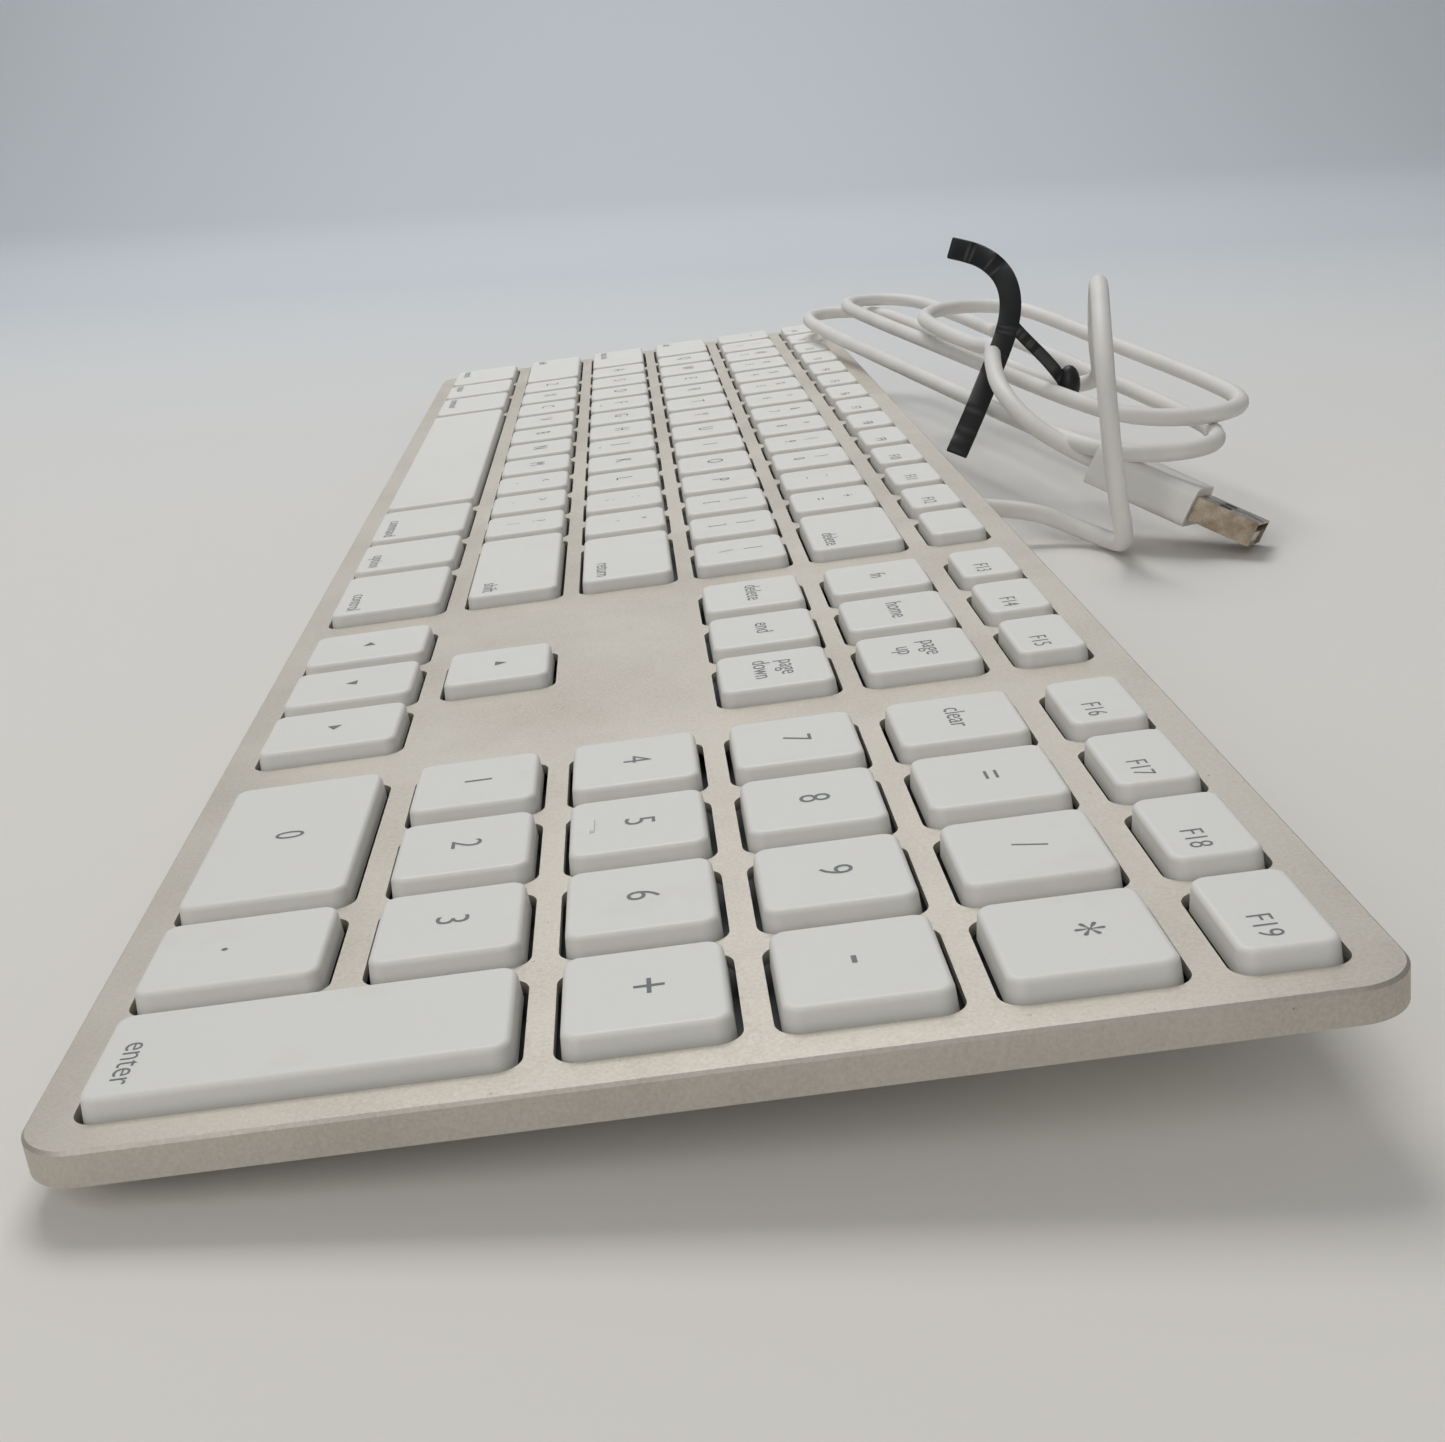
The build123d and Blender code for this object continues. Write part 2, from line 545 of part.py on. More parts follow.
heading, dip = math.radians(PLUG_HEADING), math.radians(PLUG_DIP)
plug_axis = Vector(
    math.cos(heading) * math.cos(dip), math.sin(heading) * math.cos(dip), -math.sin(dip)
)
plug_entry = Vector(*PLUG_BACK)
before_plug = plug_entry - plug_axis * PLUG_ENTRY_RUN
tube(
    [(*TAIL_START, hank_top)] + TAIL_POINTS + [tuple(before_plug), tuple(plug_entry)],
    "cable_tail",
)

# ---- twist tie ------------------------------------------------------------------------
def strip(points):
    """Flat strip whose width lies across the line of its points, facing along X."""
    vectors = [Vector(*p) for p in points]
    run = vectors[1] - vectors[0]
    path = FilletPolyline(*vectors, radius=TIE_BEND) if len(points) > 2 else Line(*vectors)
    section = Plane(origin=vectors[0], x_dir=run.cross(Vector(1, 0, 0)), z_dir=run)
    return sweep(section * Rectangle(TIE_WIDTH, TIE_THICKNESS), path=path)


save("twist_tie", strip(TIE_POINTS), strip(TIE_SECOND_ARM))
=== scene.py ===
"""Looks for the slim wired keyboard: legends, materials, cable, tie, plug, stage and camera.

Laid out as an add-on.  Every piece is built in metres around the fixed CAD frame.
"""
import json
import math

import bmesh
import bpy
from mathutils import Matrix, Vector


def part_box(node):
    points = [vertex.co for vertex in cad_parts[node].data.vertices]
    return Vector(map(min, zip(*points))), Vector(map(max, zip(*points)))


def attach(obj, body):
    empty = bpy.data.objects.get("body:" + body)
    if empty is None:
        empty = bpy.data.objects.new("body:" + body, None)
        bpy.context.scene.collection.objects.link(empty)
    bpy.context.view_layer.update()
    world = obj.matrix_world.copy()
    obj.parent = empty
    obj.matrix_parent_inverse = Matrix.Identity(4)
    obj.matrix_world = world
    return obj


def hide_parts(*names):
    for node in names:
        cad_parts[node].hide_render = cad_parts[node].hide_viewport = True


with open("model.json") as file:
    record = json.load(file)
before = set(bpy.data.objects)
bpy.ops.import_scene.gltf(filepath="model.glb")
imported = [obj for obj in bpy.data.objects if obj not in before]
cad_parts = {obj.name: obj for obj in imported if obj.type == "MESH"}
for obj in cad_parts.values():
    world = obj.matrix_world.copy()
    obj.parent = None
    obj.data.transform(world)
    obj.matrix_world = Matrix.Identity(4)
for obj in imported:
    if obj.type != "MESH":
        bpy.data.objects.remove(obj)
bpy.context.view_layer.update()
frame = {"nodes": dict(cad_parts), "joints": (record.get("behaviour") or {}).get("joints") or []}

bl_info = {
    "name": "Slim keyboard looks",
    "version": (1, 0, 0),
    "blender": (4, 5, 0),
    "location": "3D View > Sidebar > Keyboard",
    "description": "Legends, materials, cable and stage for a slim wired keyboard",
    "category": "Object",
}

MM = 0.001
CHASSIS = "chassis"

# ---- the plate's own plane, worked out from the frame ------------------------------
RIM_HEIGHT = 3.3 * MM
EDGE_BREAK = 0.3 * MM
CAP_RISE = 1.9 * MM
CAP_DROP = 0.8 * MM
PLATE_LOW, PLATE_HIGH = (Vector(c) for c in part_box("top_plate"))
KEY_AXIS = Vector(next(j for j in frame["joints"] if j["child"] == "key_5")["axis"])
TILT = math.atan2(-KEY_AXIS.y, KEY_AXIS.z)
HALF_DEPTH = (PLATE_HIGH.y - PLATE_LOW.y - RIM_HEIGHT * math.sin(TILT)) / math.cos(TILT) / 2
PLATE_ORIGIN = Vector((
    0,
    (PLATE_LOW.y + PLATE_HIGH.y - RIM_HEIGHT * math.sin(TILT)) / 2,
    PLATE_HIGH.z - (HALF_DEPTH - EDGE_BREAK) * math.sin(TILT),
))
ON_PLATE = Matrix.Translation(PLATE_ORIGIN) @ Matrix.Rotation(TILT, 4, "X")
COLUMN_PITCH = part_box("key_2")[0][0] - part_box("key_1")[0][0]
CAP_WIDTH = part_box("key_1")[1][0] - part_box("key_1")[0][0]
CAP_GAP = COLUMN_PITCH - CAP_WIDTH

# ---- cable, tie and plug, in millimetres --------------------------------------------
# From the grommet to the table, up round the standing loop and down into the bundle.
LEAD_POINTS = [
    (0.0, 62.5, 7.4), (0.0, 72.4, 6.6),
    (2.0, 80.5, 3.2), (8.5, 86.0, 1.5), (18.0, 86.0, 3.5), (25.0, 82.0, 14.0), (24.5, 80.0, 30.0),
    (15.0, 81.0, 42.0), (-2.0, 84.5, 49.0), (-19.0, 88.5, 44.0), (-30.0, 91.5, 33.0),
    (-40.0, 95.5, 23.5),
]
# Turns of the loose bundle: centre, half length, end radius, heading, height at the far and near end.
TURNS = [
    (-88.0, 75.5, 108.0, 13.0, 9.5, 23.0, 16.5),
    (-95.0, 87.0, 96.0, 14.0, 11.0, 27.0, 20.5),
    (-62.0, 94.0, 60.0, 17.0, 12.0, 31.0, 24.5),
]
SIDE_STEPS, END_STEPS = 4, 3      # points along a long side, and round an end
FIRST_STEP, LAST_STEP = 1.5, 36.5  # where the lead joins the first turn, and the tail leaves the last
# From the front side of the last turn over to the back of the plug.
TAIL_POINTS = [(-50.0, 75.0, 31.0), (-33.0, 71.0, 31.0), (-17.0, 69.5, 26.5)]
CABLE_DIAMETER = 3.4
CABLE_RESOLUTION = 6              # spline steps between two control points
CABLE_ROUNDNESS = 5

PLUG_BACK = Vector((-1.0, 85.7, 14.6))
PLUG_HEADING, PLUG_DIP, PLUG_ROLL = 57.7, 20.8, -10.6
PLUG_BODY_LENGTH = 20.0
PLUG_ENTRY_RUN = 12.0             # straight before the plug
PLUG_OVERLAP = 1.0                # cable inside the plug's body
PLUG_SHELL_HALF_HEIGHT = 2.25
WINDOW_PLACE = (5.0, 2.7)         # ahead of the plug's body, and to each side
WINDOW_SIZE = (2.2, 2.2, 0.06)
SEAM_PLACE = 6.0
SEAM_SIZE = (11.6, 0.25, 0.05)

TIE_SIZE = (4.4, 1.0)             # width and thickness
TIE_FACING = Vector((1, -0.25, 0.3))
TIE_POINTS = [
    (-30, 63.5, 12), (-33, 67, 18), (-36, 71, 26), (-38.5, 74.5, 33), (-40, 76.2, 38),
    (-41, 76.4, 42.5), (-42, 75, 46.5), (-44, 72, 49.5), (-46, 68.5, 51), (-47.5, 65, 51.8),
]
TIE_ARM_POINTS = [(-40, 76, 37), (-38, 79, 33.5), (-37, 82.5, 30), (-37, 85.5, 26.5), (-37.5, 88, 23)]
TIE_ARM_SHARE = (0.55, 1.6)       # the twisted arm's width and thickness against the strip's
TIE_KNOT = (-37.5, 88, 24)
TIE_KNOT_RADIUS = 2.6
TIE_KNOT_SHAPE = (1, 0.9, 1.5)
TIE_RESOLUTION = 4
TIE_EDGE = 0.25

# ---- camera and stage, in metres ------------------------------------------------------
CAMERA_PLACE = (0.347, -0.0043, 0.0857)
CAMERA_BACK = (0.9471, 0.0075, 0.3209)
CAMERA_ACROSS = (0.0091, 0.9987, -0.0501)
CAMERA_LENS = 46.2
CAMERA_SHIFT = 0.0677
TABLE_HALF_SIZE = (1.6, 2.6)
TABLE_CENTRE = 0.4                # along x
TABLE_DROP = 0.2 * MM             # keeps the table's face clear of the feet
WALL_CURVE = 0.5                  # radius where the table turns up
WALL_STEPS = 16
WALL_HEIGHT = 2.5
CARD_SHADE_SPAN = (-0.6, 0.1)           # x over which the card's colour changes; its darkening far off is painted shade where the light falls off
WORLD_STRENGTH = 0.28
# Lights: name, place, aim, size, watts.
LIGHTS = (
    ("key_light", (-0.45, -0.1, 1.0), (0.0, 0.0, 0.0), 0.6, 5.5),
    ("fill_light", (0.95, -0.45, 0.6), (0.15, 0.0, 0.0), 0.8, 3.5),
    ("backdrop_light", (-1.2, 0.0, 1.0), (-1.7, 0.0, 0.2), 1.2, 6.2),
)

# ---- legends ----------------------------------------------------------------------------
FONT_SIZE_SHARE = 1.37            # font size against the height of its capitals
THINNING = 0.01                   # of a letter's height, taken off its outline
LEGEND_EDGE = 2.1 * MM            # word to the cap's edge
PAIR_SHIFT = 2.4 * MM             # upper and lower sign to the cap's middle
BIG_SHARE = 1.25
SMALL_SHARE = 0.9
ARROW_RADIUS = 1.1 * MM


def linear(hex_colour):
    """Linear RGBA of an sRGB hex colour."""
    channels = [int(hex_colour[i:i + 2], 16) / 255 for i in (1, 3, 5)]
    curve = [c / 12.92 if c <= 0.04045 else ((c + 0.055) / 1.055) ** 2.4 for c in channels]
    return (*curve, 1.0)


def grey(value):
    return (value, value, value, 1.0)


def colour_property(name, description, hex_colour):
    return bpy.props.FloatVectorProperty(
        name=name, description=description, subtype="COLOR", size=4, min=0, max=1,
        default=linear(hex_colour),
    )


class KeyboardFinish(bpy.types.PropertyGroup):
    """Colours of the keyboard's materials."""

    key_colour: colour_property("Key plastic", "Moulded key cap colour", "#E9E7E1")
    key_grime: colour_property("Key grime", "Handling marks on the caps", "#B9AB97")
    plate_colour: colour_property("Aluminium", "Blasted plate face", "#C5BEB3")
    plate_dark: colour_property("Aluminium shade", "Worn or dull patches of the plate", "#B3AB9F")
    shell_colour: colour_property("Shell", "Moulded underside", "#E6E5E0")
    cable_colour: colour_property("Cable", "Cable jacket", "#E9E6E1")
    legend_colour: colour_property("Legend", "Printed characters", "#77797A")
    tie_colour: colour_property("Tie", "Plastic skin of the twist tie", "#0D0D0F")


class KeyboardSizes(bpy.types.PropertyGroup):
    """Sizes of what is drawn on and around the keyboard."""

    digit_height: bpy.props.FloatProperty(
        name="Digit height", description="Height of the large characters",
        default=3.5 * MM, unit="LENGTH",
    )
    word_height: bpy.props.FloatProperty(
        name="Word height", description="Letter height of the words on keys",
        default=2.5 * MM, unit="LENGTH",
    )
    legend_lift: bpy.props.FloatProperty(
        name="Ink thickness", description="How far the print stands on the cap",
        default=0.03 * MM, unit="LENGTH",
    )
    cable_diameter: bpy.props.FloatProperty(
        name="Cable diameter", description="Outside of the cable jacket",
        default=CABLE_DIAMETER * MM, unit="LENGTH",
    )


# ---- materials ----------------------------------------------------------------------------
def node(tree, kind, inputs=(), stops=(), **settings):
    """Adds one node with its settings and colour stops; each input takes a value or a link."""
    new = tree.nodes.new(kind)
    for name, value in settings.items():
        setattr(new, name, value)
    for element, (position, colour) in zip(new.color_ramp.elements if stops else (), stops):
        element.position, element.color = position, colour
    for name, value in dict(inputs).items():
        if isinstance(value, bpy.types.NodeSocket):
            tree.links.new(value, new.inputs[name])
        else:
            new.inputs[name].default_value = value
    return new


def per_metre(size):
    """Scale of a pattern whose features are size millimetres across."""
    return 1 / (size * MM)


def new_material(name, shader_values):
    """A material, its tree and shader, and the Object coordinates that its patterns read."""
    material = bpy.data.materials.new(name)
    material.use_nodes = True
    tree = material.node_tree
    shader = tree.nodes["Principled BSDF"]
    for socket, value in shader_values.items():
        shader.inputs[socket].default_value = value
    return material, tree, shader, node(tree, "ShaderNodeTexCoord").outputs["Object"]


def surface(tree, shader, colour, gloss, height, strength, depth):
    """Links the shader's colour and roughness, and a relief of the given depth in millimetres."""
    relief = node(tree, "ShaderNodeBump", {"Height": height, "Strength": strength, "Distance": depth * MM})
    tree.links.new(colour.outputs[2], shader.inputs["Base Color"])
    tree.links.new(gloss.outputs["Color"], shader.inputs["Roughness"])
    tree.links.new(relief.outputs["Normal"], shader.inputs["Normal"])


def moulded_key_plastic(finish):
    """Satin ABS with a faint spark-eroded grain, slightly polished and soiled by fingers."""
    material, tree, shader, place = new_material(
        "moulded_key_plastic", {"IOR": 1.53, "Subsurface Weight": 0.06, "Subsurface Scale": 1.5 * MM}
    )
    patches = node(tree, "ShaderNodeTexNoise", {      # where fingers rest, about a key across
        "Vector": place, "Scale": per_metre(22.222), "Detail": 4, "Roughness": 0.6}).outputs["Fac"]
    specks = node(tree, "ShaderNodeTexNoise", {       # dust and small stains
        "Vector": place, "Scale": per_metre(1.1111), "Detail": 3, "Roughness": 0.7}).outputs["Fac"]
    grain = node(tree, "ShaderNodeTexNoise", {        # spark-eroded grain of the mould
        "Vector": place, "Scale": per_metre(0.238095), "Detail": 2}).outputs["Fac"]
    where_soiled = node(tree, "ShaderNodeValToRGB", {"Fac": patches}, ((0.60, grey(0)), (0.80, grey(0.16))))
    where_dotted = node(tree, "ShaderNodeValToRGB", {"Fac": specks}, ((0.76, grey(0)), (0.80, grey(0.35))))
    soiled = node(tree, "ShaderNodeMix", {
        0: where_soiled.outputs["Color"], 6: finish.key_colour, 7: finish.key_grime}, data_type="RGBA")
    dotted = node(tree, "ShaderNodeMix", {
        0: where_dotted.outputs["Color"], 6: soiled.outputs[2], 7: linear("#8A7A66")}, data_type="RGBA")
    gloss = node(tree, "ShaderNodeValToRGB", {"Fac": patches}, ((0.3, grey(0.42)), (0.7, grey(0.54))))
    surface(tree, shader, dotted, gloss, grain, 0.12, 0.05)
    return material


def blasted_aluminium(finish):
    """Bead-blasted, clear-anodised aluminium: fine sparkle, dull patches and dark nicks."""
    material, tree, shader, place = new_material("blasted_anodised_aluminium", {"Metallic": 0.85})
    grain = node(tree, "ShaderNodeTexNoise", {        # pits of the bead blast, drawn coarse to show
        "Vector": place, "Scale": per_metre(0.384615), "Detail": 3, "Roughness": 0.7}).outputs["Fac"]
    patches = node(tree, "ShaderNodeTexNoise", {      # hand-worn areas
        "Vector": place, "Scale": per_metre(35.714), "Detail": 5, "Roughness": 0.6}).outputs["Fac"]
    chips = node(tree, "ShaderNodeTexNoise", {        # nicks through the anodised skin
        "Vector": place, "Scale": per_metre(1.42857), "Detail": 4, "Roughness": 0.8}).outputs["Fac"]
    where_dull = node(tree, "ShaderNodeValToRGB", {"Fac": patches}, ((0.42, grey(0)), (0.70, grey(1))))
    where_lit = node(tree, "ShaderNodeValToRGB", {"Fac": grain}, ((0.30, grey(0)), (0.75, grey(1))))
    where_nicked = node(tree, "ShaderNodeValToRGB", {"Fac": chips}, ((0.69, grey(0)), (0.73, grey(0.7))))
    dull = node(tree, "ShaderNodeMix", {
        0: where_dull.outputs["Color"], 6: finish.plate_colour, 7: finish.plate_dark}, data_type="RGBA")
    sparkle = node(tree, "ShaderNodeMix", {
        0: where_lit.outputs["Color"], 6: linear("#D8D2C9"), 7: dull.outputs[2]}, data_type="RGBA")
    half_lit = node(tree, "ShaderNodeMix", {
        0: 0.45, 6: dull.outputs[2], 7: sparkle.outputs[2]}, data_type="RGBA")
    worn = node(tree, "ShaderNodeMix", {
        0: where_nicked.outputs["Color"], 6: half_lit.outputs[2], 7: linear("#5D5044")}, data_type="RGBA")
    gloss = node(tree, "ShaderNodeValToRGB", {"Fac": grain}, ((0.3, grey(0.46)), (0.7, grey(0.62))))
    surface(tree, shader, worn, gloss, grain, 0.25, 0.06)
    return material


def plain_plastic(name, colour, roughness, grain_size=0.4, **extra):
    """Moulded plastic with a fine grain, in millimetres, and slow change of tone and gloss."""
    material, tree, shader, place = new_material(name, {"IOR": 1.5, **extra})
    patches = node(tree, "ShaderNodeTexNoise", {
        "Vector": place, "Scale": per_metre(16.6667), "Detail": 3, "Roughness": 0.5}).outputs["Fac"]
    grain = node(tree, "ShaderNodeTexNoise", {
        "Vector": place, "Scale": per_metre(grain_size), "Detail": 2, "Roughness": 0.5}).outputs["Fac"]
    where_darker = node(tree, "ShaderNodeValToRGB", {"Fac": patches}, ((0.35, grey(0)), (0.75, grey(1))))
    darker = tuple(c * 0.88 for c in colour[:3]) + (1.0,)
    toned = node(tree, "ShaderNodeMix", {
        0: where_darker.outputs["Color"], 6: colour, 7: darker}, data_type="RGBA")
    gloss = node(tree, "ShaderNodeValToRGB", {"Fac": patches},
                 ((0.3, grey(roughness - 0.05)), (0.7, grey(roughness + 0.08))))
    surface(tree, shader, toned, gloss, grain, 0.15, 0.05)
    return material


def plated_metal(name, colour, tarnish, roughness):
    """Nickel plate over steel, brushed by use, with brown tarnish in patches."""
    material, tree, shader, place = new_material(name, {"Metallic": 1.0})
    patches = node(tree, "ShaderNodeTexNoise", {
        "Vector": place, "Scale": per_metre(3.84615), "Detail": 4, "Roughness": 0.65}).outputs["Fac"]
    grain = node(tree, "ShaderNodeTexNoise", {
        "Vector": place, "Scale": per_metre(0.333333), "Detail": 2, "Roughness": 0.5}).outputs["Fac"]
    where_brown = node(tree, "ShaderNodeValToRGB", {"Fac": patches}, ((0.38, grey(0)), (0.68, grey(1))))
    tarnished = node(tree, "ShaderNodeMix", {
        0: where_brown.outputs["Color"], 6: linear(colour), 7: linear(tarnish)}, data_type="RGBA")
    gloss = node(tree, "ShaderNodeValToRGB", {"Fac": patches},
                 ((0.3, grey(roughness)), (0.7, grey(roughness + 0.15))))
    surface(tree, shader, tarnished, gloss, grain, 0.12, 0.04)
    return material


def matte_card():
    """Pale matte card of the table and backdrop, a little darker far off: that darkening is painted shade,
    where the light falls off with distance.
    """
    material, tree, shader, place = new_material(
        "matte_card", {"Roughness": 0.9, "Specular IOR Level": 0.2}
    )
    split = node(tree, "ShaderNodeSeparateXYZ", {"Vector": place})
    span = node(tree, "ShaderNodeMapRange", {
        "Value": split.outputs["X"], "From Min": CARD_SHADE_SPAN[0], "From Max": CARD_SHADE_SPAN[1]})
    # painted shade: the colour ramp darkens the far table and the backdrop, where the light falls off with
    # distance
    tone = node(tree, "ShaderNodeValToRGB", {"Fac": span.outputs["Result"]},
                ((0.0, linear("#C5CACE")), (1.0, linear("#ECE8E2"))))
    tree.links.new(tone.outputs["Color"], shader.inputs["Base Color"])
    return material


def dress(names, material):
    """Gives CAD nodes one material."""
    for name in names:
        mesh = frame["nodes"][name].data
        mesh.materials.clear()
        mesh.materials.append(material)


# ---- building helpers ----------------------------------------------------------------------
def finish_piece(obj, body, material):
    obj.data.materials.append(material)
    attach(obj, body)


def mesh_object(name, bm, smooth=True):
    mesh = bpy.data.meshes.new(name)
    bmesh.ops.recalc_face_normals(bm, faces=bm.faces)
    bm.to_mesh(mesh)
    bm.free()
    for polygon in mesh.polygons:
        polygon.use_smooth = smooth
    obj = bpy.data.objects.new(name, mesh)
    bpy.context.scene.collection.objects.link(obj)
    return obj


def curve_object(name, curve):
    obj = bpy.data.objects.new(name, curve)
    bpy.context.scene.collection.objects.link(obj)
    return obj


def mesh_of(obj):
    """Mesh that a text or curve object gives; the object is removed."""
    bpy.context.view_layer.update()
    mesh = bpy.data.meshes.new_from_object(obj.evaluated_get(bpy.context.evaluated_depsgraph_get()))
    curve = obj.data
    bpy.data.objects.remove(obj)
    bpy.data.curves.remove(curve)
    return mesh


def nurbs(name, points, resolution):
    """Smooth open curve whose control points are given in millimetres."""
    curve = bpy.data.curves.new(name, "CURVE")
    curve.dimensions = "3D"
    spline = curve.splines.new("NURBS")
    spline.points.add(len(points) - 1)
    for point, place in zip(spline.points, points):
        point.co = (*(Vector(place) * MM), 1.0)
    spline.order_u = 3
    spline.use_endpoint_u = True
    spline.resolution_u = resolution
    return curve_object(name, curve)


def flat_middle(node_name):
    """Middle of a key row or key on the plate's own plane: x, y."""
    low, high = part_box(node_name)
    half_rise = (CAP_RISE - CAP_DROP) / 2
    middle = (low[1] + high[1]) / 2 - PLATE_ORIGIN.y + half_rise * math.sin(TILT)
    return (low[0] + high[0]) / 2, middle / math.cos(TILT)


def on_cap(x, y):
    """Place of print on the cap tops at x, y of the plate's plane."""
    lift = bpy.context.scene.keyboard_sizes.legend_lift
    return ON_PLATE @ Matrix.Translation((x, y, CAP_RISE + lift))


def glyphs(text, height, x, y, align):
    """Mesh of a line of text, laid flat on the cap tops with its middle at x, y."""
    curve = bpy.data.curves.new("glyphs", "FONT")
    curve.body = text
    curve.size = height * FONT_SIZE_SHARE
    curve.align_x, curve.align_y = align, "CENTER"
    curve.offset = 0.0 if text == "*" else -THINNING * height
    curve.resolution_u = 3
    mesh = mesh_of(curve_object("glyphs", curve))
    mesh.transform(on_cap(x, y))
    return mesh


def triangle_glyph(x, y, turn):
    """Small solid arrow head of a cursor key."""
    bm = bmesh.new()
    bmesh.ops.create_circle(bm, cap_ends=True, segments=3, radius=ARROW_RADIUS)
    bm.transform(on_cap(x, y) @ Matrix.Rotation(math.radians(turn), 4, "Z"))
    mesh = bpy.data.meshes.new("arrow")
    bm.to_mesh(mesh)
    bm.free()
    return mesh


def join_meshes(name, meshes):
    bm = bmesh.new()
    for mesh in meshes:
        bm.from_mesh(mesh)
        bpy.data.meshes.remove(mesh)
    return mesh_object(name, bm, smooth=False)


# A legend is (text, style).  Styles: centre, big, centre_word, pair (upper and lower sign), left and
# corner (front left and front right), small_corner.
NUMBER_PAIRS = ["~`", "!1", "@2", "#3", "$4", "%5", "^6", "&7", "*8", "(9", ")0", "_-", "+="]
ROW_LEGENDS = {
    "keys_number_row": ([1.0] * 13 + [1.5],
                        [(pair, "pair") for pair in NUMBER_PAIRS] + [("delete", "corner")]),
    "keys_upper_row": ([1.5] + [1.0] * 13,
                       [("tab", "left")] + [(c, "centre") for c in "QWERTYUIOP"]
                       + [("{[", "pair"), ("}]", "pair"), ("|\\", "pair")]),
    "keys_home_row": ([1.75] + [1.0] * 11 + [1.75],
                      [("caps lock", "left")] + [(c, "centre") for c in "ASDFGHJKL"]
                      + [(":;", "pair"), ("\"'", "pair"), ("return", "corner")]),
    "keys_lower_row": ([2.25] + [1.0] * 10 + [2.25],
                       [("shift", "left")] + [(c, "centre") for c in "ZXCVBNM"]
                       + [("<,", "pair"), (">.", "pair"), ("?/", "pair"), ("shift", "corner")]),
    "keys_modifier_row": ([1.5, 1.25, 1.5, 6.0, 1.5, 1.25, 1.5],
                          [("control", "left"), ("option", "left"), ("command", "left"), None,
                           ("command", "corner"), ("option", "corner"), ("control", "corner")]),
}
KEY_LEGENDS = {
    "key_clear": ("clear", "centre_word"), "key_equals": ("=", "centre"),
    "key_divide": ("/", "centre"), "key_multiply": ("*", "big"),
    "key_7": ("7", "centre"), "key_8": ("8", "centre"), "key_9": ("9", "centre"),
    "key_minus": ("-", "big"), "key_4": ("4", "centre"), "key_5": ("5", "centre"),
    "key_6": ("6", "centre"), "key_plus": ("+", "big"), "key_1": ("1", "centre"),
    "key_2": ("2", "centre"), "key_3": ("3", "centre"), "key_enter": ("enter", "corner"),
    "key_0": ("0", "centre"), "key_decimal": (".", "big"),
    "key_f16": ("F16", "small_corner"), "key_f17": ("F17", "small_corner"),
    "key_f18": ("F18", "small_corner"), "key_f19": ("F19", "small_corner"),
    "key_function": ("fn", "centre_word"), "key_home": ("home", "centre_word"),
    "key_page_up": ("page\nup", "centre_word"), "key_forward_delete": ("delete", "centre_word"),
    "key_end": ("end", "centre_word"), "key_page_down": ("page\ndown", "centre_word"),
}
ARROW_TURNS = {"key_up": 0, "key_left": 90, "key_down": 180, "key_right": 270}
FUNCTION_KEYS = ["esc"] + [f"F{n}" for n in range(1, 13)] + [None, "F13", "F14", "F15"]
MAIN_FUNCTION_KEYS = 14


def legend(entry, x, y, width, depth):
    """Meshes of one key's legend; x, y is the cap's middle, width and depth its size."""
    sizes = bpy.context.scene.keyboard_sizes
    text, style = entry
    digit, word = sizes.digit_height, sizes.word_height
    front = y - depth / 2 + LEGEND_EDGE + word / 2
    if style == "pair":
        return [glyphs(text[0], word, x, y + PAIR_SHIFT, "CENTER"),
                glyphs(text[1], word, x, y - PAIR_SHIFT, "CENTER")]
    middle_heights = {"centre": digit, "big": digit * BIG_SHARE, "centre_word": word}
    if style in middle_heights:
        return [glyphs(text, middle_heights[style], x, y, "CENTER")]
    if style == "left":
        return [glyphs(text, word, x - width / 2 + LEGEND_EDGE, front, "LEFT")]
    height = word * SMALL_SHARE if style == "small_corner" else word
    return [glyphs(text, height, x + width / 2 - LEGEND_EDGE, front, "RIGHT")]


# ---- operators ---------------------------------------------------------------------------------
class KEYBOARD_OT_camera(bpy.types.Operator):
    """Set the camera low, past the keypad end"""

    bl_idname = "keyboard.camera"
    bl_label = "Camera"

    def execute(self, context):
        data = bpy.data.cameras.new("camera")
        data.sensor_width = 36.0
        data.lens = CAMERA_LENS
        data.shift_x = CAMERA_SHIFT
        data.clip_start = 0.01
        camera = bpy.data.objects.new("camera", data)
        context.scene.collection.objects.link(camera)
        back = Vector(CAMERA_BACK).normalized()
        across = Vector(CAMERA_ACROSS)
        across = (across - back * across.dot(back)).normalized()
        basis = Matrix((across, back.cross(across), back)).transposed().to_4x4()
        camera.matrix_world = Matrix.Translation(CAMERA_PLACE) @ basis
        context.scene.camera = camera
        return {"FINISHED"}


